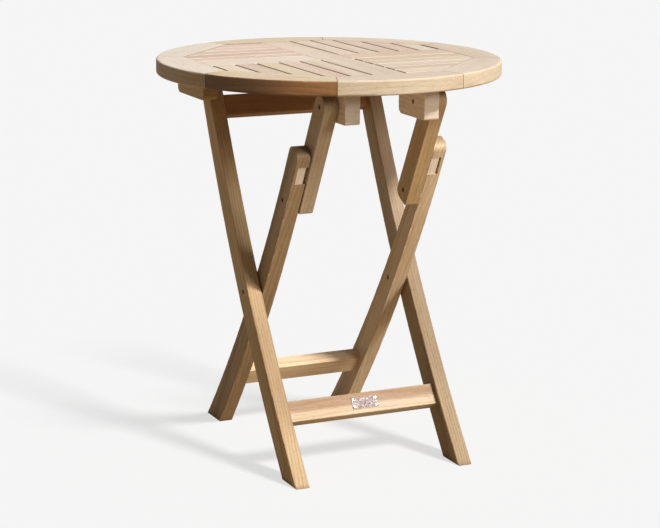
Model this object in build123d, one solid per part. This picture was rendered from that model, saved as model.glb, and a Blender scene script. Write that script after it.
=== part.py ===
from build123d import *
import os
from math import atan2, cos, degrees, hypot, pi, radians, sin, sqrt

# Folding round table: slatted top, outer leg frame A, inner leg frame B, two struts.
# Millimetres. +Z up, front is -Y, pivots run along X. Origin on the floor, under the
# middle of the top. Shown open, standing on its four feet.

# ---------------------------------------------------------------- driving dimensions
top_dia = 650.0
height = 750.0
top_t = 28.0            # thickness of the top
rim_r = 4.0             # rounding of the rim

ring_w = 72.5           # ring, from the rim to the flats of its inner octagon
slats_per_quarter = 5
slot = 5.0              # open slots between slats
board_w = 62.0          # centre board and cross boards
tongue_t = 8.0          # tongues on the slat ends
tongue_l = 9.0
groove_clear = 0.15
slat_r = 1.2

member_t = 28.0         # thickness of legs and struts, along X
block_t = 30.0          # thickness of the front and back blocks
frame_inset = 143.0     # outer face of the outer legs, in from the rim
gap_ab = 2.0            # between outer and inner legs
gap_in = 1.2            # between the other neighbours on a pivot
ease_r = 1.6            # rounding of the long edges

pivot_drop = 29.0       # pivots of the blocks below the underside of the top
back_pivot_in, front_pivot_in = 143.0, 102.5         # in from the rim, along Y
foot_a_in, foot_b_in = 96.0, 109.0                   # in from the rim, along Y
cross_y, cross_share = -12.5, 0.42                   # crossing; its share of the height
knee_back, knee_drop = 95.0, 182.0                   # knee behind and below the front pivot
leg_b_over = 114.0      # length of the inner leg beyond the knee
leg_a_foot_w, leg_a_mid_w, leg_a_top_w = 50.0, 47.0, 39.0
leg_b_foot_w, leg_b_mid_w, leg_b_top_w = 51.0, 44.0, 38.0
leg_b_corner_r = 14.0
strut_w = 43.0
strut_end = 22.0        # lower end of the strut, below the knee
strut_front_r, strut_back_r = 4.0, 16.0              # its front and back corners

block_h = 58.0
front_block_front, front_block_back = 45.0, 57.0     # lengths either side of the pivot
back_block_front, back_block_back = 77.0, 58.0
block_corner_r, front_corner_r = 12.0, 4.0           # lower corners; at the very front

rail_h, rail_t = 41.0, 26.0
rail_a_z, rail_b_z = 108.0, 113.0                    # bottom rails
rail_top_below = 51.0   # top rail below the back pivot
tenon_h, tenon_t, tenon_l = 28.0, 11.0, 18.0
pin_d, pin_l = 6.0, 30.0

stop_above = 67.0       # middle of the notch above the knee
notch_h, notch_wall = 38.0, 6.5
notch_back = -6.0       # floor of the notch, from the centreline to the front
stop_inset = 1.5        # stop block behind the inner face of the leg
stop_gap = 4.0          # open strip beside the stop block
stop_lug_h, stop_lug_in, stop_lug_front = 28.0, 10.0, 7.0
stop_clear = 0.3

bolt_d, bolt_head_d, bolt_head_t = 7.0, 9.0, 3.5
bolt_recess_d, bolt_sink = 9.6, 3.0
bolt_clear = 0.05       # radial, in the member that turns on the bolt
stud_d, stud_l = 4.5, 12.0
hex_af, hex_deep = 4.0, 2.2
washer_d, washer_play = 18.0, 0.3

screw_d, screw_head_d, screw_head_t, screw_in = 4.5, 9.0, 3.0, 18.0
front_screw_inset = 7.0                              # from the outer face of the block
front_screw_at, back_screw_at = (-15.5, 32.5), (-42.0, 40.0)   # behind the pivot

plate_w, plate_h, plate_t = 54.0, 22.0, 0.8
plate_x = 5.0
nail_d, nail_head_d, nail_head_t, nail_l = 1.6, 3.2, 0.6, 8.0
nail_inset = 4.0

# ---------------------------------------------------------------- derived places
top_r = top_dia / 2
under_z = height - top_t
pivot_z = under_z - pivot_drop
oct_in = top_r - ring_w                       # apothem of the inner octagon
board_half = board_w / 2
pitch = (oct_in - board_half - slot) / slats_per_quarter
tongue_z = height - top_t / 2 - tongue_t / 2

a_out, a_in = top_r - frame_inset, top_r - frame_inset - member_t
b_out, b_in = a_in - gap_ab, a_in - gap_ab - member_t
s_out, s_in = b_in - gap_in, b_in - gap_in - member_t
f_out, f_in = s_in - gap_in, s_in - gap_in - block_t
k_in, k_out = a_out + gap_in, a_out + gap_in + block_t
front_screw_x, back_screw_x = f_out - front_screw_inset, (k_in + k_out) / 2

back_pivot = (top_r - back_pivot_in, pivot_z)
front_pivot = (front_pivot_in - top_r, pivot_z)
foot_a, foot_b = (foot_a_in - top_r, 0.0), (top_r - foot_b_in, 0.0)
cross = (cross_y, cross_share * height)
knee = (front_pivot[0] + knee_back, pivot_z - knee_drop)


# ---------------------------------------------------------------- helpers, in the YZ plane
def add(p, d, s):
    return (p[0] + d[0] * s, p[1] + d[1] * s)


def unit(p, q):
    n = hypot(q[0] - p[0], q[1] - p[1])
    return ((q[0] - p[0]) / n, (q[1] - p[1]) / n)


def circle_through(p, q, r):
    ax, ay, bx, by, cx, cy = *p, *q, *r
    d = 2 * (ax * (by - cy) + bx * (cy - ay) + cx * (ay - by))
    a2, b2, c2 = ax * ax + ay * ay, bx * bx + by * by, cx * cx + cy * cy
    u = (a2 * (by - cy) + b2 * (cy - ay) + c2 * (ay - by)) / d
    v = (a2 * (cx - bx) + b2 * (ax - cx) + c2 * (bx - ax)) / d
    return (u, v), hypot(ax - u, ay - v)


class Bow:
    """Centreline of a bowed leg: an arc through its foot, a pivot and a second pivot."""

    def __init__(self, foot, mid, top):
        self.foot, self.mid, self.top = foot, mid, top
        self.centre, self.radius = circle_through(foot, mid, top)

    def at_z(self, z):
        side = 1 if self.mid[0] > self.centre[0] else -1
        reach = sqrt(self.radius**2 - (z - self.centre[1]) ** 2)
        return (self.centre[0] + side * reach, z)

    def up(self, p):
        """Direction of the leg at p, upwards."""
        n = unit(self.centre, p)
        t = (-n[1], n[0])
        return t if t[1] > 0 else (-t[0], -t[1])

    def front(self, p):
        """Across the leg at p, to the front."""
        t = self.up(p)
        return (-t[1], t[0])

    def beyond(self, p, length):
        """The point on the arc further up by length along it."""
        turn = length / self.radius
        t, n = self.up(p), unit(self.centre, p)
        if n[0] * t[1] - n[1] * t[0] < 0:
            turn = -turn
        dx, dy = p[0] - self.centre[0], p[1] - self.centre[1]
        return (
            self.centre[0] + dx * cos(turn) - dy * sin(turn),
            self.centre[1] + dx * sin(turn) + dy * cos(turn),
        )

    def edges(self, end, w_foot, w_mid, w_end):
        """Front and back edge: three points each, at the foot, the middle and the end."""
        half_foot = w_foot / 2 / self.up(self.foot)[1]
        foot_f, foot_b = (self.foot[0] - half_foot, 0.0), (self.foot[0] + half_foot, 0.0)
        mid, last = self.front(self.mid), self.front(end)
        front = (foot_f, add(self.mid, mid, w_mid / 2), add(end, last, w_end / 2))
        back = (foot_b, add(self.mid, mid, -w_mid / 2), add(end, last, -w_end / 2))
        return front, back


def prism(profile, x0, x1):
    """A closed YZ outline, swept from x0 to x1."""
    face = Plane.YZ.offset(min(x0, x1)) * make_face(profile)
    return extrude(face, amount=abs(x1 - x0))


def ease(solid, r):
    """Rounds the edges of the two side faces."""
    sides = solid.faces().filter_by(Axis.X)
    return fillet(sides.edges(), r)


def turned(p, up):
    """Frame at p with Z along up and Y across, to the back."""
    return Location((0, p[0], p[1]), (-degrees(atan2(up[0], up[1])), 0, 0))


def bar(p, up, x0, x1, back, front, low, high):
    """Box in the frame of turned(): front and back are distances across, from p."""
    size = (abs(x1 - x0), front - back, high - low)
    mid = ((x0 + x1) / 2, -(front + back) / 2, (low + high) / 2)
    return turned(p, up) * (Pos(*mid) * Box(*size))


def rod(p, x0, x1, d):
    """Round bar along X."""
    return Pos((x0 + x1) / 2, p[0], p[1]) * Rot(0, 90, 0) * Cylinder(d / 2, abs(x1 - x0))


def both(maker):
    """The same piece on the right (+X) and mirrored to the left."""
    right = maker()
    return {"right": right, "left": mirror(right, Plane.YZ)}


def group(*solids):
    return Compound(children=[s for part in solids for s in part.solids()])


def mirrored_pair(solid):
    return group(solid, mirror(solid, Plane.YZ))


# ---------------------------------------------------------------- pivots
def hexagon(p, face_x, into):
    """Hexagon socket from face_x, into the head."""
    key = Plane.YZ.offset(min(face_x, face_x + into)) * (
        Pos(p[0], p[1]) * RegularPolygon(hex_af / 2, 6, major_radius=False)
    )
    return extrude(key, amount=abs(into))


def pivot_set(p, x_out, x_in, x_split):
    """Bolt from the outside, barrel nut from the inside, joined by a stud at x_split."""
    head_out, head_in = x_out - bolt_sink, x_in + bolt_sink
    bolt = rod(p, head_out, head_out - bolt_head_t, bolt_head_d)
    bolt += rod(p, head_out - bolt_head_t, x_split, bolt_d)
    bolt += rod(p, x_split, x_split - stud_l, stud_d)
    bolt -= hexagon(p, head_out, -hex_deep)
    nut = rod(p, head_in, head_in + bolt_head_t, bolt_head_d)
    nut += rod(p, head_in + bolt_head_t, x_split, bolt_d)
    nut -= rod(p, x_split, x_split - stud_l, stud_d)
    nut -= hexagon(p, head_in, hex_deep)
    return bolt, nut


def recess(p, face_x, into):
    """Counterbore for a bolt head, sunk from face_x."""
    return rod(p, face_x, face_x + into * (bolt_sink + bolt_head_t + 0.4), bolt_recess_d)


def bore(p, x0, x1, clear):
    return rod(p, x0, x1, bolt_d + 2 * clear)


def washer(p, x_fixed, x_free):
    """Spacer on the fixed member's side of a gap."""
    reach = abs(x_free - x_fixed) - washer_play
    x_end = x_fixed + reach * (1 if x_free > x_fixed else -1)
    return rod(p, x_fixed, x_end, washer_d) - rod(p, x_fixed, x_end, bolt_d + 1.0)


# ---------------------------------------------------------------- tabletop
def slab(face, z0, z1):
    return extrude(Pos(0, 0, z0) * face, amount=z1 - z0)


def octagon(apothem):
    return RegularPolygon(apothem, 8, major_radius=False, rotation=22.5)


def ring_segment(k):
    a0, a1 = radians(22.5 + 45 * k), radians(67.5 + 45 * k)
    am = (a0 + a1) / 2
    corner = oct_in / cos(pi / 8)

    def at(r, a):
        return (r * cos(a), r * sin(a))

    outline = [
        Line(at(corner, a0), at(top_r, a0)),
        ThreePointArc(at(top_r, a0), at(top_r, am), at(top_r, a1)),
        Line(at(top_r, a1), at(corner, a1)),
        Line(at(corner, a1), at(corner, a0)),
    ]
    seg = slab(make_face(outline), under_z, height)
    rim = [e for e in seg.edges() if e.geom_type == GeomType.CIRCLE]
    seg = fillet(rim, rim_r)
    groove = slab(
        octagon(oct_in + tongue_l + 1.0), tongue_z - groove_clear, tongue_z + tongue_t + groove_clear
    )
    return seg - groove


def strip(x0, x1, y0, y1):
    return Pos((x0 + x1) / 2, (y0 + y1) / 2) * Rectangle(abs(x1 - x0), abs(y1 - y0))


def plank(body, tongue):
    """A board of the field with a tongue; its upper edges are eased."""
    piece = slab(body, under_z, height)
    piece = fillet(piece.faces().sort_by(Axis.Z)[-1].edges(), slat_r)
    return piece + slab(tongue, tongue_z, tongue_z + tongue_t)


def quarter_slats(gap_at_centre):
    """Slats along Y in the front-left quarter; their inner ends meet a board."""
    inner = -board_half - (slot if gap_at_centre else 0.0)
    slats = []
    for k in range(slats_per_quarter):
        x_hi = -board_half - slot - k * pitch
        x_lo = -board_half - (k + 1) * pitch
        body = strip(x_lo, x_hi, -oct_in - 1, inner) & octagon(oct_in)
        tongue = strip(x_lo, x_hi, -top_r, -board_half + tongue_l) & octagon(oct_in + tongue_l)
        slats.append(plank(body, tongue))
    return slats


def groove_box(x0, x1, y0, y1):
    depth = strip(x0, x1, y0, y1)
    return slab(depth, tongue_z - groove_clear, tongue_z + tongue_t + groove_clear)


def centre_board():
    body = strip(-board_half, board_half, -oct_in, oct_in)
    reach = oct_in + tongue_l
    tongue = strip(-board_half, board_half, -reach, reach)
    board = plank(body, tongue)
    deep = board_half - tongue_l - 1.0
    for side in (-1, 1):
        # the left edge takes slat ends behind the cross board, the right edge before it
        near, far = side * board_half, -side * (oct_in + 1)
        board -= groove_box(side * (board_half + 1), side * deep, near, far)
    return board


def cross_board(side):
    """Left (-1) or right (+1) of the centre board, level with it."""
    x_in, x_out = side * board_half, side * oct_in
    body = strip(x_in, x_out, -board_half, board_half)
    tongue = strip(
        side * (board_half - tongue_l), side * (oct_in + tongue_l), -board_half, board_half
    )
    board = plank(body, tongue)
    # slat ends come in from the front on the left and from the back on the right
    edge, floor = side * (board_half + 1), side * (board_half - tongue_l - 1.0)
    return board - groove_box(x_in + side, x_out, edge, floor)


# ---------------------------------------------------------------- blocks, struts, legs, rails
def block(p, before, behind, x_in, x_out, front_r):
    """Hangs under the top with rounded lower corners."""
    y0, y1, z0 = p[0] - before, p[0] + behind, under_z - block_h
    solid = Pos((x_in + x_out) / 2, (y0 + y1) / 2, z0 + block_h / 2) * Box(
        x_out - x_in, y1 - y0, block_h
    )
    back = solid.edges().filter_by(Axis.X).sort_by(Axis.Z)[:2].sort_by(Axis.Y)[1]
    solid = fillet(back, block_corner_r)
    front = solid.edges().filter_by(Axis.X).sort_by(Axis.Y)[:2].sort_by(Axis.Z)[0]
    solid = fillet(front, front_r)
    keep = [e for e in solid.faces().filter_by(Axis.X).edges() if e.center().Z < under_z - 0.5]
    return fillet(keep, ease_r)


def screw(x, y):
    z0 = under_z - block_h
    head = Pos(x, y, z0 + screw_head_t / 2 + 0.3) * Cylinder(screw_head_d / 2, screw_head_t)
    length = under_z + screw_in - z0 - screw_head_t - 0.3
    shank = Pos(x, y, z0 + screw_head_t + 0.3 + length / 2) * Cylinder(screw_d / 2, length)
    return head + shank


def screw_hole(x, y):
    """Same outline as the screw, open at the lower face."""
    z0 = under_z - block_h
    open_end = Pos(x, y, z0 + (screw_head_t + 0.3) / 2 - 1) * Cylinder(
        screw_head_d / 2, screw_head_t + 2.3
    )
    return screw(x, y) + open_end


def leg_profile(bow, end, widths, corner_r):
    (f0, f1, f2), (b0, b1, b2) = bow.edges(end, *widths)
    up, half = bow.up(end), widths[2] / 2
    outline = [ThreePointArc(f0, f1, f2), ThreePointArc(b0, b1, b2), Line(b0, f0)]
    if corner_r is None:
        outline.append(ThreePointArc(f2, add(end, up, half), b2))
    else:
        outline.append(Line(f2, b2))
    return outline


bow_a = Bow(foot_a, cross, back_pivot)
bow_b = Bow(foot_b, cross, knee)
strut_up = unit(knee, front_pivot)
strut_len = hypot(front_pivot[0] - knee[0], front_pivot[1] - knee[1])
rail_a = bow_a.at_z(rail_a_z)
rail_b = bow_b.at_z(rail_b_z)
rail_c = bow_a.at_z(pivot_z - rail_top_below)


def rail(p, up, half_span):
    """Rail between two legs, with a tenon at each end."""
    solid = Box(2 * half_span, rail_t, rail_h)
    solid = fillet(solid.edges().filter_by(Axis.X), ease_r)
    solid += Box(2 * (half_span + tenon_l), tenon_t, tenon_h)
    return turned(p, up) * solid


def mortise(p, up, face_x):
    reach = face_x + tenon_l + 0.5
    half_t, half_h = tenon_t / 2, tenon_h / 2
    return bar(p, up, face_x - 1, reach, -half_t, half_t, -half_h, half_h)


def pin(p, up, x, front):
    """Dowel from the front face of the leg through the tenon."""
    place = turned(p, up) * Pos(x, -front + 0.2 + pin_l / 2, 0) * Rot(90, 0, 0)
    return place * Cylinder(pin_d / 2, pin_l)


def leg_a():
    widths = (leg_a_foot_w, leg_a_mid_w, leg_a_top_w)
    leg = ease(prism(leg_profile(bow_a, back_pivot, widths, None), a_in, a_out), ease_r)
    leg -= mortise(rail_a, bow_a.up(rail_a), a_in) + mortise(rail_c, bow_a.up(rail_c), a_in)
    leg -= pin(rail_c, bow_a.up(rail_c), (a_in + a_out) / 2, pin_front_c)
    leg -= bore(back_pivot, a_in - 1, a_out + 1, bolt_clear) + recess(back_pivot, a_in, 1)
    return leg - bore(cross, a_in - 1, a_out + 1, 0) - recess(cross, a_out, -1)


def leg_b():
    end = bow_b.beyond(knee, leg_b_over)
    widths = (leg_b_foot_w, leg_b_mid_w, leg_b_top_w)
    leg = prism(leg_profile(bow_b, end, widths, leg_b_corner_r), b_in, b_out)
    tips = leg.edges().filter_by(Axis.X).sort_by(Axis.Z)[-2:]
    leg = ease(fillet(tips, leg_b_corner_r), ease_r)
    leg -= mortise(rail_b, bow_b.up(rail_b), b_in)
    leg -= pin(rail_b, bow_b.up(rail_b), (b_in + b_out) / 2, pin_front_b)
    leg -= bore(cross, b_in - 1, b_out + 1, 0) + recess(cross, b_in, 1)
    leg -= bore(knee, b_in - 1, b_out + 1, 0) + recess(knee, b_out, -1)
    low, high = stop_above - notch_h / 2, stop_above + notch_h / 2
    notch_x = b_out - notch_wall
    return leg - bar(knee, strut_up, b_in - 1, notch_x, notch_back, leg_b_mid_w, low, high)


def stop_block(shift):
    """Set in the notch; its lug behind the strut's shoulder keeps the knee from passing over."""
    low = stop_above - notch_h / 2
    x_in, x_out = b_in + stop_inset + shift, b_out - notch_wall - stop_gap + shift
    face = leg_b_top_w / 2 - 0.5
    piece = bar(
        knee, strut_up, x_in, x_out, notch_back, face, low, low + notch_h - stop_clear
    )
    half = stop_lug_h / 2
    lug_x = s_out - stop_lug_in
    return piece + bar(
        knee, strut_up, lug_x, x_in, notch_back, stop_lug_front, stop_above - half, stop_above + half
    )


def strut():
    across = (-strut_up[1], strut_up[0])
    half, end = strut_w / 2, add(knee, strut_up, -strut_end)
    kf, kb = add(end, across, half), add(end, across, -half)
    pf, pb = add(front_pivot, across, half), add(front_pivot, across, -half)
    outline = [
        Line(kf, pf),
        ThreePointArc(pf, add(front_pivot, strut_up, half), pb),
        Line(pb, kb),
        Line(kb, kf),
    ]
    arm = prism(outline, s_in, s_out)
    arm = fillet(arm.edges().filter_by(Axis.X).sort_by(Axis.Z)[1], strut_back_r)
    arm = fillet(arm.edges().filter_by(Axis.X).sort_by(Axis.Z)[0], strut_front_r)
    arm = ease(arm, ease_r)
    arm -= bore(knee, s_in - 1, s_out + 1, bolt_clear) + recess(knee, s_in, 1)
    arm -= bore(front_pivot, s_in - 1, s_out + 1, bolt_clear) + recess(front_pivot, s_out, -1)
    # shoulder for the lug of the stop block, open to the back
    low = stop_above - stop_lug_h / 2 - 8.0
    high = stop_above + stop_lug_h / 2 + 5.0
    floor = s_out - stop_lug_in - 1.0
    return arm - bar(
        knee, strut_up, floor, s_out + 1, -strut_w, stop_lug_front + stop_clear, low, high
    )


def front_block():
    piece = block(
        front_pivot, front_block_front, front_block_back, f_in, f_out, front_corner_r
    )
    piece -= bore(front_pivot, f_in - 1, f_out + 1, 0) + recess(front_pivot, f_in, 1)
    for y in front_screw_at:
        piece -= screw_hole(front_screw_x, front_pivot[0] + y)
    return piece


def back_block():
    piece = block(back_pivot, back_block_front, back_block_back, k_in, k_out, block_corner_r)
    piece -= bore(back_pivot, k_in - 1, k_out + 1, 0) + recess(back_pivot, k_out, -1)
    for y in back_screw_at:
        piece -= screw_hole(back_screw_x, back_pivot[0] + y)
    return piece


def width_front(bow, p, w_foot, w_mid):
    """Half width of a leg at p, between its foot and its crossing."""
    share = p[1] / bow.mid[1]
    return (w_foot + (w_mid - w_foot) * share) / 2


top_share = (rail_c[1] - cross[1]) / (pivot_z - cross[1])
pin_front_c = (leg_a_mid_w + (leg_a_top_w - leg_a_mid_w) * top_share) / 2
pin_front_b = width_front(bow_b, rail_b, leg_b_foot_w, leg_b_mid_w)


# ---------------------------------------------------------------- plate on the bottom rail
def plate_frame(x, z):
    place = turned(rail_a, bow_a.up(rail_a))
    return place * Pos(x, -rail_t / 2, z) * Rot(90, 0, 0)


def name_plate():
    piece = plate_frame(plate_x, 0) * (Pos(0, 0, plate_t / 2) * Box(plate_w, plate_h, plate_t))
    for x, z in nail_places():
        piece -= plate_frame(x, z) * Cylinder(nail_d / 2, 6 * plate_t)
    return piece


def nail_places():
    dx, dz = plate_w / 2 - nail_inset, plate_h / 2 - nail_inset
    return [(plate_x + sx * dx, sz * dz) for sx in (-1, 1) for sz in (-1, 1)]


def nail(x, z):
    head = Pos(0, 0, plate_t + nail_head_t / 2) * Cylinder(nail_head_d / 2, nail_head_t)
    shank = Pos(0, 0, plate_t - nail_l / 2) * Cylinder(nail_d / 2, nail_l)
    return plate_frame(x, z) * (head + shank)


# ---------------------------------------------------------------- assembly
nodes = {}

screws = [(s * front_screw_x, front_pivot[0] + y) for s in (-1, 1) for y in front_screw_at]
screws += [(s * back_screw_x, back_pivot[0] + y) for s in (-1, 1) for y in back_screw_at]

field = {}
for k in range(8):
    field[f"ring_segment_{k + 1}"] = ring_segment(k)
field["centre_board"] = centre_board()
field["cross_board_left"] = cross_board(-1)
field["cross_board_right"] = cross_board(1)
tight, open_ended = quarter_slats(False), quarter_slats(True)
for k in range(slats_per_quarter):
    field[f"slat_front_left_{k + 1}"] = tight[k]
    field[f"slat_back_right_{k + 1}"] = Rot(0, 0, 180) * tight[k]
    field[f"slat_back_left_{k + 1}"] = Rot(0, 0, -90) * tight[k]
    field[f"slat_front_right_{k + 1}"] = Rot(0, 0, 90) * open_ended[k]
for name, piece in field.items():
    box, r = piece.bounding_box(), screw_d / 2
    for x, y in screws:
        if box.min.X - r < x < box.max.X + r and box.min.Y - r < y < box.max.Y + r:
            piece -= screw_hole(x, y)
    nodes[name] = piece

for maker in (front_block, back_block, leg_a, leg_b, strut):
    for side, piece in both(maker).items():
        nodes[f"{maker.__name__}_{side}"] = piece
# the open strip is on the right of both blocks
nodes["stop_block_right"] = stop_block(0.0)
nodes["stop_block_left"] = mirror(stop_block(stop_gap), Plane.YZ)

nails = group(*[nail(x, z) for x, z in nail_places()])
pin_c = pin(rail_c, bow_a.up(rail_c), (a_in + a_out) / 2, pin_front_c)
pin_b = pin(rail_b, bow_b.up(rail_b), (b_in + b_out) / 2, pin_front_b)


def rail_with_holes(p, bow, half_span, pins):
    piece = rail(p, bow.up(p), half_span)
    for hole in pins:
        piece = piece - hole - mirror(hole, Plane.YZ)
    return piece


nodes["rail_a_bottom"] = rail_with_holes(rail_a, bow_a, a_in, []) - nails
nodes["rail_a_top"] = rail_with_holes(rail_c, bow_a, a_in, [pin_c])
nodes["rail_b_bottom"] = rail_with_holes(rail_b, bow_b, b_in, [pin_b])
nodes["pins_a"] = mirrored_pair(pin_c)
nodes["pins_b"] = mirrored_pair(pin_b)
nodes["name_plate"] = name_plate()
nodes["name_plate_nails"] = nails
nodes["block_screws"] = group(*[screw(x, y) for x, y in screws])

back_bolt, back_nut = pivot_set(back_pivot, k_out, a_in, (a_in + k_out) / 2)
front_bolt, front_nut = pivot_set(front_pivot, s_out, f_in, (f_in + s_out) / 2)
knee_bolt, knee_nut = pivot_set(knee, b_out, s_in, (s_in + b_out) / 2)
nodes["block_pivot_bolts"] = group(mirrored_pair(back_bolt), mirrored_pair(front_bolt))
nodes["block_pivot_nuts"] = group(mirrored_pair(back_nut), mirrored_pair(front_nut))
nodes["block_pivot_washers"] = group(
    mirrored_pair(washer(back_pivot, k_in, a_out)),
    mirrored_pair(washer(front_pivot, f_out, s_in)),
)
nodes["knee_bolts"] = mirrored_pair(knee_bolt)
nodes["knee_nuts"] = mirrored_pair(knee_nut)
nodes["knee_washers"] = mirrored_pair(washer(knee, b_in, s_out))

# the crossing pivot: a bolt in the outer leg and a barrel nut in the inner one
split = b_out + washer_play
cross_bolt = rod(cross, a_out - bolt_sink, a_out - bolt_sink - bolt_head_t, bolt_head_d)
cross_bolt += rod(cross, a_out - bolt_sink - bolt_head_t, split, bolt_d)
cross_bolt -= hexagon(cross, a_out - bolt_sink, -hex_deep)
cross_nut = rod(cross, b_in + bolt_sink, b_in + bolt_sink + bolt_head_t, bolt_head_d)
cross_nut += rod(cross, b_in + bolt_sink + bolt_head_t, b_out, bolt_d)
cross_nut -= hexagon(cross, b_in + bolt_sink, hex_deep)
nodes["cross_bolts"] = mirrored_pair(cross_bolt)
nodes["cross_nuts"] = mirrored_pair(cross_nut)
nodes["cross_washers"] = mirrored_pair(washer(cross, a_in, b_out))

os.makedirs("parts", exist_ok=True)
for name, piece in nodes.items():
    export_step(piece, f"parts/{name}.step")
    print(name, len(piece.solids()), round(sum(s.volume for s in piece.solids())))
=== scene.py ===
"""Looks of a folding round table: oiled teak boards, zinc plated bolts, a blank steel plate."""

from math import cos, pi, radians, sin

import bpy
import numpy as np
from mathutils import Matrix, Vector


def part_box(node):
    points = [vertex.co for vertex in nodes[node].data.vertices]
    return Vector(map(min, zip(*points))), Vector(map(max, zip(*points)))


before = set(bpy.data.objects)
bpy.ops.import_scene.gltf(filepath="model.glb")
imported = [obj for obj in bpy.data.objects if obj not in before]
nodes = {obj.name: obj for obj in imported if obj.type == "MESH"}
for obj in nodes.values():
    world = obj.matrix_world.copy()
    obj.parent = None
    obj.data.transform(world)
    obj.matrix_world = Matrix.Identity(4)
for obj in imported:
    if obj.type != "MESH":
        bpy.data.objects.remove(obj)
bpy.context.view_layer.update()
scene = bpy.context.scene


# ---------------------------------------------------------------- camera
def aim_camera(place, yaw, pitch, roll, lens):
    """Camera at place; yaw from +Y towards +X, pitch up, roll clockwise, in degrees."""
    y, p, r = radians(yaw), radians(pitch), radians(roll)
    ahead = Vector((sin(y) * cos(p), cos(y) * cos(p), sin(p)))
    level = Vector((cos(y), -sin(y), 0))
    above = level.cross(ahead)
    right = level * cos(r) + above * sin(r)
    up = above * cos(r) - level * sin(r)
    data = bpy.data.cameras.new("camera")
    data.sensor_width = 36
    data.lens = lens
    camera = bpy.data.objects.new("camera", data)
    scene.collection.objects.link(camera)
    turn = Matrix((right, up, -ahead)).transposed()
    camera.matrix_world = Matrix.Translation(place) @ turn.to_4x4()
    scene.camera = camera


CAMERA_PLACE = (-1.6533, -3.5248, 1.2457)
CAMERA_YAW, CAMERA_PITCH, CAMERA_ROLL, CAMERA_LENS = 25.198, -12.958, 0.421, 113.07
aim_camera(CAMERA_PLACE, CAMERA_YAW, CAMERA_PITCH, CAMERA_ROLL, CAMERA_LENS)


# ---------------------------------------------------------------- node wiring
class Wires:
    """Places and joins nodes in one node tree."""

    def __init__(self, tree):
        self.tree = tree

    def node(self, kind, **settings):
        made = self.tree.nodes.new(kind)
        for key, value in settings.items():
            setattr(made, key, value)
        return made

    def feed(self, socket, value):
        if isinstance(value, bpy.types.NodeSocket):
            self.tree.links.new(value, socket)
        elif value is not None:
            socket.default_value = value

    def math(self, operation, a, b=None, c=None, clamp=False):
        made = self.node("ShaderNodeMath", operation=operation, use_clamp=clamp)
        for socket, value in zip(made.inputs, (a, b, c)):
            self.feed(socket, value)
        return made.outputs[0]

    def vector(self, operation, a, b=None, scale=None):
        made = self.node("ShaderNodeVectorMath", operation=operation)
        self.feed(made.inputs[0], a)
        self.feed(made.inputs[1], b)
        if scale is not None:
            self.feed(made.inputs["Scale"], scale)
        single = operation in ("LENGTH", "DOT_PRODUCT", "DISTANCE")
        return made.outputs["Value" if single else "Vector"]

    def mix(self, share, a, b, blend="MIX"):
        made = self.node("ShaderNodeMix", data_type="RGBA", blend_type=blend)
        self.feed(made.inputs["Factor"], share)
        self.feed(made.inputs[6], a)
        self.feed(made.inputs[7], b)
        return made.outputs[2]

    def ramp(self, value, low, high, to_low=0.0, to_high=1.0, smooth=True):
        kind = "SMOOTHSTEP" if smooth else "LINEAR"
        made = self.node("ShaderNodeMapRange", interpolation_type=kind)
        for name, amount in (("Value", value), ("From Min", low), ("From Max", high),
                             ("To Min", to_low), ("To Max", to_high)):
            self.feed(made.inputs[name], amount)
        return made.outputs["Result"]

    def noise(self, place, stretch, detail=2.0, rough=0.5):
        """Noise of that many bumps per metre along each axis."""
        scaled = self.vector("MULTIPLY", place, stretch)
        made = self.node("ShaderNodeTexNoise")
        self.feed(made.inputs["Vector"], scaled)
        self.feed(made.inputs["Scale"], 1.0)
        self.feed(made.inputs["Detail"], detail)
        self.feed(made.inputs["Roughness"], rough)
        return made

    def group(self, tree, **values):
        made = self.node("ShaderNodeGroup", node_tree=tree)
        for name, value in values.items():
            self.feed(made.inputs[name.replace("_", " ")], value)
        return made


def new_group(name, inputs, outputs):
    """A node group; inputs and outputs are (name, kind, usual value)."""
    tree = bpy.data.node_groups.new(name, "ShaderNodeTree")
    for label, kind, usual in inputs:
        socket = tree.interface.new_socket(label, in_out="INPUT", socket_type="NodeSocket" + kind)
        if usual is not None:
            socket.default_value = usual
    for label, kind in outputs:
        tree.interface.new_socket(label, in_out="OUTPUT", socket_type="NodeSocket" + kind)
    w = Wires(tree)
    return w, w.node("NodeGroupInput").outputs, w.node("NodeGroupOutput").inputs


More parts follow.
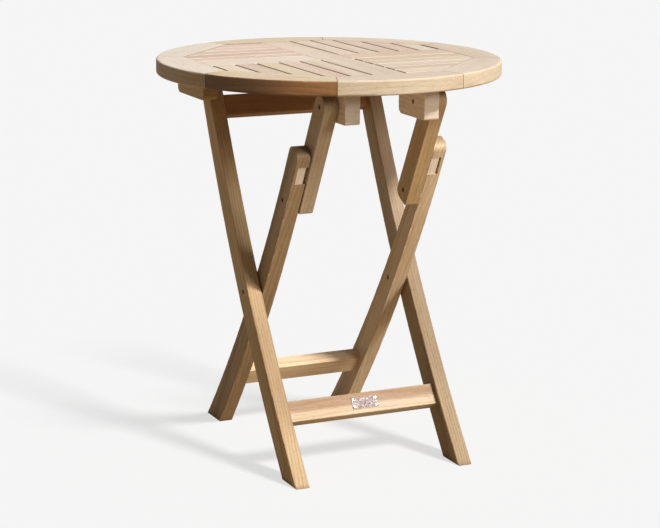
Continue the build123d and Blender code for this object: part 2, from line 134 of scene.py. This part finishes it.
# ---------------------------------------------------------------- teak
def make_teak_group():
    """Growth rings round a pith beside the board, fibres and pores along it, and heartwood.

    Vector is the place in the board: X along the grain, Y across, Z through, in metres.
    """
    w, given, out = new_group(
        "Teak figure",
        [
            ("Vector", "Vector", None),
            ("Pale", "Color", (0.6, 0.42, 0.25, 1)),
            ("Golden", "Color", (0.5, 0.32, 0.16, 1)),
            ("Dark", "Color", (0.2, 0.1, 0.04, 1)),
            ("Pith Across", "Float", 0.01),
            ("Pith Below", "Float", 0.05),
            ("Ring Width", "Float", 0.006),
            ("Ring Depth", "Float", 0.5),
            ("Wander", "Float", 0.012),
            ("Heart Place", "Float", 0.0),
            ("Heart Spread", "Float", 0.02),
            ("Heart Depth", "Float", 0.0),
            ("End Grain", "Float", 0.0),
        ],
        [("Color", "Color"), ("Roughness", "Float"), ("Height", "Float")],
    )
    place = given["Vector"]
    # slow drift of the pith along the board, which draws the arches on flat-sawn faces
    drift = w.noise(place, (2.6, 5.0, 5.0), 2.0, 0.45).outputs["Color"]
    drift = w.vector("SUBTRACT", drift, (0.5, 0.5, 0.5))
    drift = w.vector("SCALE", drift, scale=w.math("MULTIPLY", given["Wander"], 2.0))
    moved = w.vector("ADD", place, drift)
    split = w.node("ShaderNodeSeparateXYZ")
    w.feed(split.inputs[0], moved)
    across = w.math("SUBTRACT", split.outputs["Y"], given["Pith Across"])
    below = w.math("ADD", split.outputs["Z"], given["Pith Below"])
    reach = w.math("SQRT", w.math("ADD", w.math("MULTIPLY", across, across),
                                  w.math("MULTIPLY", below, below)))
    # rings of uneven width
    uneven = w.noise(place, (1.5, 60.0, 60.0), 2.0).outputs["Fac"]
    reach = w.math("ADD", reach, w.math("MULTIPLY", w.math("SUBTRACT", uneven, 0.5), 0.0045))
    turn = w.math("DIVIDE", reach, given["Ring Width"])
    phase = w.math("FRACT", turn)
    late = w.math("POWER", phase, 2.6)
    late = w.math("MULTIPLY", late, w.ramp(phase, 1.0, 0.93))
    # every ring has its own strength
    year = w.node("ShaderNodeTexWhiteNoise", noise_dimensions="1D")
    w.feed(year.inputs["W"], w.math("FLOOR", turn))
    late = w.math("MULTIPLY", late, w.ramp(year.outputs["Value"], 0.0, 1.0, 0.35, 1.3, False))

    fibre = w.noise(place, (9.0, 420.0, 420.0), 4.0, 0.62).outputs["Fac"]
    streak = w.noise(place, (3.0, 75.0, 75.0), 3.0, 0.55).outputs["Fac"]
    pores = w.ramp(w.noise(place, (55.0, 1900.0, 1900.0), 1.0).outputs["Fac"], 0.60, 0.70)
    clouds = w.noise(place, (3.2, 16.0, 16.0), 2.0, 0.5).outputs["Fac"]

    colour = w.mix(w.ramp(clouds, 0.32, 0.68), given["Pale"], given["Golden"])
    colour = w.mix(w.math("MULTIPLY", late, given["Ring Depth"], clamp=True), colour, given["Dark"])
    colour = w.mix(w.ramp(streak, 0.50, 0.78, 0.0, 0.34), colour, given["Dark"])
    colour = w.mix(w.ramp(streak, 0.48, 0.22, 0.0, 0.30), colour, given["Pale"])
    # heartwood: a darker band along the board, with a ragged border
    flat = w.node("ShaderNodeSeparateXYZ")
    w.feed(flat.inputs[0], place)
    border = w.math("MULTIPLY", w.math("SUBTRACT", clouds, 0.5), given["Heart Spread"])
    gap = w.math("ABSOLUTE", w.math("SUBTRACT", w.math("ADD", flat.outputs["Y"], border),
                                    given["Heart Place"]))
    heart = w.ramp(gap, given["Heart Spread"], w.math("MULTIPLY", given["Heart Spread"], 0.35))
    heart = w.math("MULTIPLY", heart, w.ramp(streak, 0.2, 0.7, 0.75, 1.1, False))
    colour = w.mix(w.math("MULTIPLY", heart, given["Heart Depth"], clamp=True), colour, given["Dark"])

    tone = w.ramp(fibre, 0.25, 0.75, 0.86, 1.13, False)
    tone = w.math("MULTIPLY", tone, w.ramp(pores, 0.0, 1.0, 1.0, 0.72, False))
    tone = w.math("MULTIPLY", tone, w.ramp(given["End Grain"], 0.0, 1.0, 1.0, 0.72, False))
    grey = w.node("ShaderNodeCombineColor")
    for channel in grey.inputs:
        w.feed(channel, tone)
    w.feed(out["Color"], w.mix(1.0, colour, grey.outputs[0], "MULTIPLY"))

    rough = w.ramp(fibre, 0.3, 0.7, 0.50, 0.64, False)
    w.feed(out["Roughness"], w.math("ADD", rough, w.math("MULTIPLY", late, 0.06)))
    height = w.math("MULTIPLY_ADD", fibre, 0.55, w.math("MULTIPLY", late, -0.25))
    w.feed(out["Height"], w.math("SUBTRACT", height, w.math("MULTIPLY", pores, 0.5)))
    return w.tree


def make_edge_highlight_and_wear_group():
    """Where the surface turns over an edge within Reach: paler, in patches; partly rubbed wear, partly a
    painted highlight on the edges.
    """
    w, given, out = new_group(
        "Edge highlight and wear",
        [("Reach", "Float", 0.002), ("Amount", "Float", 0.5), ("Vector", "Vector", None)],
        [("Mask", "Float")],
    )
    rounded = w.node("ShaderNodeBevel", samples=6)
    w.feed(rounded.inputs["Radius"], given["Reach"])
    flat = w.node("ShaderNodeNewGeometry").outputs["Normal"]
    turned = w.math("SUBTRACT", 1.0, w.vector("DOT_PRODUCT", rounded.outputs[0], flat))
    edge = w.ramp(turned, 0.02, 0.25)
    patch = w.noise(given["Vector"], (45.0, 90.0, 90.0), 3.0, 0.6).outputs["Fac"]
    edge = w.math("MULTIPLY", edge, w.ramp(patch, 0.35, 0.62, 0.25, 1.0))
    w.feed(out["Mask"], w.math("MULTIPLY", edge, given["Amount"], clamp=True))
    return w.tree


def make_metal_group():
    """Fine scratches and a cloudy, slightly tarnished plating."""
    w, given, out = new_group(
        "Worn plating",
        [("Vector", "Vector", None), ("Bright", "Color", (0.7, 0.7, 0.7, 1)),
         ("Dull", "Color", (0.4, 0.39, 0.37, 1)), ("Roughness", "Float", 0.35)],
        [("Color", "Color"), ("Roughness", "Float"), ("Height", "Float")],
    )
    clouds = w.noise(given["Vector"], (260.0, 260.0, 260.0), 4.0, 0.6).outputs["Fac"]
    lines = w.noise(given["Vector"], (90.0, 4200.0, 2600.0), 3.0, 0.7).outputs["Fac"]
    w.feed(out["Color"], w.mix(w.ramp(clouds, 0.35, 0.7), given["Bright"], given["Dull"]))
    spread = w.math("ADD", w.ramp(clouds, 0.3, 0.7, -0.07, 0.12, False),
                    w.ramp(lines, 0.3, 0.7, -0.05, 0.05, False))
    w.feed(out["Roughness"], w.math("ADD", given["Roughness"], spread))
    w.feed(out["Height"], lines)
    return w.tree


TEAK, EDGE_HIGHLIGHT_AND_WEAR, PLATING = make_teak_group(), make_edge_highlight_and_wear_group(), make_metal_group()


def shade(rgb, light=1.0):
    return (*(min(1.0, channel * light) for channel in rgb), 1.0)


# pale, golden and dark part of each tone of teak
TONES = {
    "bleached": ((0.74, 0.65, 0.55), (0.68, 0.58, 0.48), (0.50, 0.39, 0.29)),
    "cream": ((0.67, 0.55, 0.43), (0.60, 0.48, 0.36), (0.42, 0.29, 0.18)),
    "rose": ((0.66, 0.52, 0.41), (0.58, 0.44, 0.33), (0.40, 0.25, 0.16)),
    "straw": ((0.66, 0.54, 0.39), (0.60, 0.47, 0.31), (0.42, 0.29, 0.16)),
    "amber": ((0.66, 0.50, 0.33), (0.56, 0.38, 0.21), (0.30, 0.15, 0.055)),
    "honey": ((0.50, 0.34, 0.165), (0.42, 0.265, 0.115), (0.20, 0.105, 0.036)),
    "tan": ((0.52, 0.35, 0.185), (0.43, 0.27, 0.13), (0.21, 0.115, 0.045)),
    "sand": ((0.55, 0.41, 0.26), (0.46, 0.32, 0.18), (0.26, 0.155, 0.075)),
    "rust": ((0.35, 0.17, 0.06), (0.26, 0.12, 0.04), (0.12, 0.05, 0.018)),
    "olive": ((0.36, 0.26, 0.15), (0.28, 0.19, 0.10), (0.13, 0.08, 0.035)),
    "umber": ((0.16, 0.08, 0.03), (0.10, 0.046, 0.017), (0.045, 0.02, 0.007)),
}


def teak(name, centre, along, across, tone, seed, light=1.0, ring=0.008, depth=0.3, pith=(0.01, 0.05),
         wander=0.012, heart=(0.0, 0.02, 0.0), seam=None, foot=False, top=None, far=None):
    """Material of one board. along and across are the directions of its grain and its width.

    top is the tone of its upper face and far the tone it turns to along the grain, if not the same.
    """
    made = bpy.data.materials.new(name)
    made.use_nodes = True
    tree = made.node_tree
    w = Wires(tree)
    skin = tree.nodes["Principled BSDF"]
    x, y = Vector(along).normalized(), Vector(across).normalized()
    turn = Matrix((x, y, x.cross(y))).transposed().to_euler()
    given = w.node("ShaderNodeTexCoord")
    board = w.node("ShaderNodeMapping", vector_type="TEXTURE")
    w.feed(board.inputs["Vector"], given.outputs["Object"])
    # the seed slides the figure along the grain, so that no two boards are alike
    w.feed(board.inputs["Location"], Vector(centre) - x * (3.1 * seed))
    w.feed(board.inputs["Rotation"], turn)
    place = board.outputs[0]
    facing = w.vector("DOT_PRODUCT", given.outputs["Normal"], tuple(x))
    end = w.ramp(w.math("ABSOLUTE", facing), 0.75, 0.95)
    parts = [shade(part, light) for part in TONES[tone]]
    if far:
        offset = w.vector("DOT_PRODUCT", w.vector("SUBTRACT", given.outputs["Object"], tuple(centre)),
                          tuple(x))
        turned = w.ramp(offset, -0.05, 0.10)
        parts = [w.mix(turned, a, shade(b, light)) for a, b in zip(parts, TONES[far])]
    if top:
        upward = w.ramp(w.vector("DOT_PRODUCT", given.outputs["Normal"], (0, 0, 1)), 0.5, 0.85)
        parts = [w.mix(upward, a, shade(b)) for a, b in zip(parts, TONES[top])]
    pale, golden, dark = parts
    figure = w.group(TEAK, Vector=place, Pale=pale, Golden=golden, Dark=dark, Pith_Across=pith[0],
                     Pith_Below=pith[1], Ring_Width=ring, Ring_Depth=depth, Wander=wander,
                     Heart_Place=heart[0], Heart_Spread=heart[1], Heart_Depth=heart[2], End_Grain=end)
    colour = figure.outputs["Color"]
    # edges painted paler: partly wear, partly a painted highlight along the rounded edges
    wear_and_highlight = w.group(EDGE_HIGHLIGHT_AND_WEAR, Reach=0.0022, Amount=0.35, Vector=place).outputs["Mask"]
    colour = w.mix(wear_and_highlight, colour, w.mix(0.12, pale, (0.8, 0.7, 0.6, 1)))
    if seam:
        colour = w.mix(seam_mask(w, given.outputs["Object"], seam), colour, (0.035, 0.02, 0.01, 1))
    if foot:
        # darker over the lowest centimetre of the leg, with a ragged upper border
        apart = w.node("ShaderNodeSeparateXYZ")
        w.feed(apart.inputs[0], given.outputs["Object"])
        foot_ragged = w.noise(place, (30.0, 120.0, 120.0), 3.0).outputs["Fac"]
        level = w.math("ADD", apart.outputs["Z"], w.math("MULTIPLY", foot_ragged, 0.006))
        foot_darkening = w.ramp(level, 0.011, 0.002, 0.0, 0.8)
        colour = w.mix(foot_darkening, colour, shade(TONES[tone][2], 0.8))
    w.feed(skin.inputs["Base Color"], colour)
    w.feed(skin.inputs["Roughness"], figure.outputs["Roughness"])
    grain = w.node("ShaderNodeBump")
    w.feed(grain.inputs["Strength"], 0.35)
    w.feed(grain.inputs["Distance"], 0.0005)
    w.feed(grain.inputs["Height"], figure.outputs["Height"])
    w.feed(skin.inputs["Normal"], grain.outputs[0])
    skin.inputs["IOR"].default_value = 1.45
    return made


def seam_mask(w, place, planes):
    """Thin dark joints where the board meets upright planes, at (angle, distance from the middle)."""
    total = None
    for angle, distance in planes:
        normal = (-sin(radians(angle)), cos(radians(angle)), 0.0)
        gap = w.vector("DOT_PRODUCT", place, normal)
        gap = w.math("ABSOLUTE", w.math("SUBTRACT", gap, distance))
        line = w.ramp(gap, 0.0011, 0.0004, 0.0, 0.85)
        total = line if total is None else w.math("MAXIMUM", total, line)
    return total


def plating(name, bright, dull, rough, along=(1, 0, 0)):
    made = bpy.data.materials.new(name)
    made.use_nodes = True
    tree = made.node_tree
    w = Wires(tree)
    skin = tree.nodes["Principled BSDF"]
    given = w.node("ShaderNodeTexCoord")
    finish = w.group(PLATING, Vector=given.outputs["Object"], Bright=shade(bright), Dull=shade(dull),
                     Roughness=rough)
    # edges painted brighter: partly worn plating, partly a painted glint on the edges
    wear_and_highlight = w.group(EDGE_HIGHLIGHT_AND_WEAR, Reach=0.0006, Amount=0.5, Vector=given.outputs["Object"]).outputs["Mask"]
    w.feed(skin.inputs["Base Color"], w.mix(wear_and_highlight, finish.outputs["Color"], shade(bright, 1.2)))
    w.feed(skin.inputs["Roughness"], finish.outputs["Roughness"])
    lines = w.node("ShaderNodeBump")
    w.feed(lines.inputs["Strength"], 0.2)
    w.feed(lines.inputs["Distance"], 0.0001)
    w.feed(lines.inputs["Height"], finish.outputs["Height"])
    w.feed(skin.inputs["Normal"], lines.outputs[0])
    skin.inputs["Metallic"].default_value = 1.0
    return made


# ---------------------------------------------------------------- which board has which look
rng = np.random.default_rng(11)


def put(name, material):
    nodes[name].data.materials.clear()
    nodes[name].data.materials.append(material)


def middle(name):
    low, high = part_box(name)
    return (low + high) / 2, high - low


def dress(name, along, across, tone, **looks):
    centre, _ = middle(name)
    seed = rng.uniform(0.3, 9.7)
    put(name, teak("teak " + name.replace("_", " "), centre, along, across, tone, seed, **looks))


RING_LOOKS = {
    1: ("cream", dict(light=1.0)),
    2: ("straw", dict(light=0.95)),
    # segment 3 and the upper face of segment 4 get the palest tone: a painted sheen where the left of the
    # top reflects the bright surround
    3: ("bleached", dict(light=0.95)),
    4: ("olive", dict(light=1.1, top="bleached")),
    5: ("umber", dict(light=1.0, depth=0.6, ring=0.009, wander=0.02, top="straw", far="rust")),
    6: ("straw", dict(light=0.86, top="cream")),
    7: ("straw", dict(light=0.9, top="cream")),
    8: ("cream", dict(light=0.95)),
}
ring_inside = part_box("ring_segment_8")[0].x
for k, (tone, looks) in RING_LOOKS.items():
    a = radians(45 * k)
    dress(f"ring_segment_{k}", (-sin(a), cos(a), 0), (cos(a), sin(a), 0), tone,
          seam=((45 * k - 22.5, 0), (45 * k + 22.5, 0), (45 * k - 90, ring_inside)), **looks)

dress("centre_board", (0, 1, 0), (1, 0, 0), "cream", ring=0.007, light=1.0)
dress("cross_board_left", (1, 0, 0), (0, 1, 0), "bleached", ring=0.006, light=0.98)
dress("cross_board_right", (1, 0, 0), (0, 1, 0), "rose", ring=0.006, light=1.0)
for quarter in ("front_left", "back_right", "back_left", "front_right"):
    lengthways = quarter in ("front_left", "back_right")
    along, across = ((0, 1, 0), (1, 0, 0)) if lengthways else ((1, 0, 0), (0, 1, 0))
    for k in range(1, 6):
        # the back left slats get the palest tone: the same painted sheen on the left of the top
        tone = ("bleached" if quarter == "back_left" else "cream", "rose", "straw")[int(rng.integers(3))]
        dress(f"slat_{quarter}_{k}", along, across, tone, light=rng.uniform(0.86, 1.06),
              ring=rng.uniform(0.006, 0.012), depth=rng.uniform(0.18, 0.38),
              pith=(rng.uniform(-0.03, 0.03), rng.uniform(0.015, 0.07)))

# leg, tone at the foot, its lightness, tone towards the top
LEG_LOOKS = {
    "left": (("a", "honey", 0.97, None), ("b", "tan", 0.72, None)),
    # leg_a_right turns to a paler tone towards its top: painted light, standing in for light reaching its
    # upper part from the front under the tabletop
    "right": (("a", "honey", 0.66, "amber"), ("b", "sand", 1.22, None)),
}
for side in ("left", "right"):
    for leg, tone, light, far in LEG_LOOKS[side]:
        name = f"leg_{leg}_{side}"
        _, size = middle(name)
        lean = (0, (1 if leg == "a" else -1) * (size.y - 0.05), size.z)
        dress(name, lean, (0, -lean[2], lean[1]), tone, foot=True, depth=0.6, light=light, far=far,
              heart=(rng.uniform(-0.02, 0.02), 0.012, 0.35),
              pith=(rng.uniform(-0.02, 0.02), rng.uniform(0.02, 0.05)), ring=0.0055)
    _, size = middle(f"strut_{side}")
    lean = (0, -(size.y - 0.03), size.z - 0.03)
    strut_tone, strut_light = ("sand", 0.85) if side == "left" else ("honey", 1.0)
    dress(f"strut_{side}", lean, (0, -lean[2], lean[1]), strut_tone, light=strut_light)
    dress(f"stop_block_{side}", lean, (0, -lean[2], lean[1]), "cream", light=1.25)
    # front blocks painted paler than their wood: painted light, standing in for light reaching them from
    # the front under the tabletop
    dress(f"front_block_{side}", (0, 1, 0), (1, 0, 0), "cream", light=1.15 if side == "left" else 1.35)
    dress(f"back_block_{side}", (0, 1, 0), (1, 0, 0), "honey", light=0.9)
dress("rail_a_bottom", (1, 0, 0), (0, 0, 1), "amber", light=0.84, heart=(0.014, 0.013, 0.8))
# upper rail painted dark: painted shade from the tabletop above it
dress("rail_a_top", (1, 0, 0), (0, 0, 1), "rust", light=1.0)
dress("rail_b_bottom", (1, 0, 0), (0, 0, 1), "amber", light=1.1)
for name in ("pins_a", "pins_b"):
    dress(name, (0, 1, 0), (1, 0, 0), "olive", light=0.55)

zinc = plating("zinc plating", (0.34, 0.32, 0.29), (0.16, 0.15, 0.13), 0.32)
for name in ("block_pivot_bolts", "block_pivot_nuts", "block_pivot_washers", "cross_bolts", "cross_nuts",
             "cross_washers", "knee_bolts", "knee_nuts", "knee_washers"):
    put(name, zinc)
put("block_screws", plating("yellow passivated steel", (0.62, 0.47, 0.22), (0.35, 0.25, 0.10), 0.34))
put("name_plate", plating("blank steel plate", (0.13, 0.106, 0.10), (0.09, 0.072, 0.07), 0.5))
put("name_plate_nails", plating("bright nail steel", (0.86, 0.85, 0.83), (0.60, 0.58, 0.56), 0.22))


# ---------------------------------------------------------------- floor and light
def pale_floor():
    """Flat disc under the table; the camera sees it lifted, so that shadows stay pale."""
    corner = np.linspace(0, 2 * pi, 48, endpoint=False)
    rim = np.stack([40 * np.cos(corner), 40 * np.sin(corner), 0 * corner], 1)
    mesh = bpy.data.meshes.new("floor")
    mesh.from_pydata(rim.tolist(), [], [list(range(48))])
    floor = bpy.data.objects.new("floor", mesh)
    scene.collection.objects.link(floor)
    made = bpy.data.materials.new("pale floor")
    made.use_nodes = True
    tree = made.node_tree
    w = Wires(tree)
    tree.nodes.remove(tree.nodes["Principled BSDF"])
    seen, bounce = w.node("ShaderNodeBsdfDiffuse"), w.node("ShaderNodeBsdfDiffuse")
    seen.inputs["Color"].default_value = (0.22, 0.22, 0.22, 1)
    bounce.inputs["Color"].default_value = (0.42, 0.32, 0.21, 1)
    glow = w.node("ShaderNodeEmission")
    glow.inputs["Strength"].default_value = 0.665
    lifted = w.node("ShaderNodeAddShader")
    w.feed(lifted.inputs[0], seen.outputs[0])
    w.feed(lifted.inputs[1], glow.outputs[0])
    pick = w.node("ShaderNodeMixShader")
    w.feed(pick.inputs[0], w.node("ShaderNodeLightPath").outputs["Is Camera Ray"])
    w.feed(pick.inputs[1], bounce.outputs[0])
    w.feed(pick.inputs[2], lifted.outputs[0])
    w.feed(tree.nodes["Material Output"].inputs["Surface"], pick.outputs[0])
    mesh.materials.append(made)
    return floor


def sun(name, towards, power, spread, tint=(1, 1, 1)):
    """Light from far off; towards points from the table to it, spread is its width in degrees."""
    data = bpy.data.lights.new(name, "SUN")
    data.energy = power
    data.angle = radians(spread)
    data.color = tint
    lamp = bpy.data.objects.new(name, data)
    scene.collection.objects.link(lamp)
    lamp.rotation_mode = "QUATERNION"
    lamp.rotation_quaternion = Vector(towards).to_track_quat("Z", "Y")
    return lamp


def backdrop(seen, fill):
    """Even studio surround: white to the camera and in reflections, dimmer as fill light."""
    world = bpy.data.worlds.new("studio")
    world.use_nodes = True
    scene.world = world
    w = Wires(world.node_tree)
    ground = world.node_tree.nodes["Background"]
    ground.inputs["Color"].default_value = (1, 1, 1, 1)
    soft = w.node("ShaderNodeLightPath").outputs["Is Diffuse Ray"]
    w.feed(ground.inputs["Strength"], w.ramp(soft, 0.0, 1.0, seen, fill, False))


def leave_out(lamp, what, pieces):
    """The pieces get no light from the lamp (receiver) or cast no shadow in it (blocker)."""
    chosen = bpy.data.collections.new(f"{lamp.name} {what}")
    for piece in pieces:
        chosen.objects.link(piece)
    for entry in chosen.collection_objects:
        entry.light_linking.link_state = "EXCLUDE"
    setattr(lamp.light_linking, what + "_collection", chosen)


floor = pale_floor()
TO_KEY, TO_LOW_FRONT = (0.34, -0.61, 0.713), (0.464, -0.803, 0.375)
WARM, WARMER = (1.0, 0.985, 0.96), (1.0, 0.98, 0.95)
for lamp in (sun("key", TO_KEY, 3.7, 7.0, WARM), sun("low front light", TO_LOW_FRONT, 1.5, 20.0, WARMER)):
    leave_out(lamp, "receiver", [floor])
# the floor gets its own key, in which only the legs and bottom rails cast shadows
floor_key = sun("floor key", TO_KEY, 4.3, 12.0)
leave_out(floor_key, "receiver", nodes.values())
CASTING = ("leg_", "rail_a_bottom", "rail_b_bottom")
leave_out(floor_key, "blocker", [piece for name, piece in nodes.items() if not name.startswith(CASTING)])
backdrop(0.92, 0.16)
scene.view_settings.view_transform = "Standard"
scene.view_settings.look = "None"
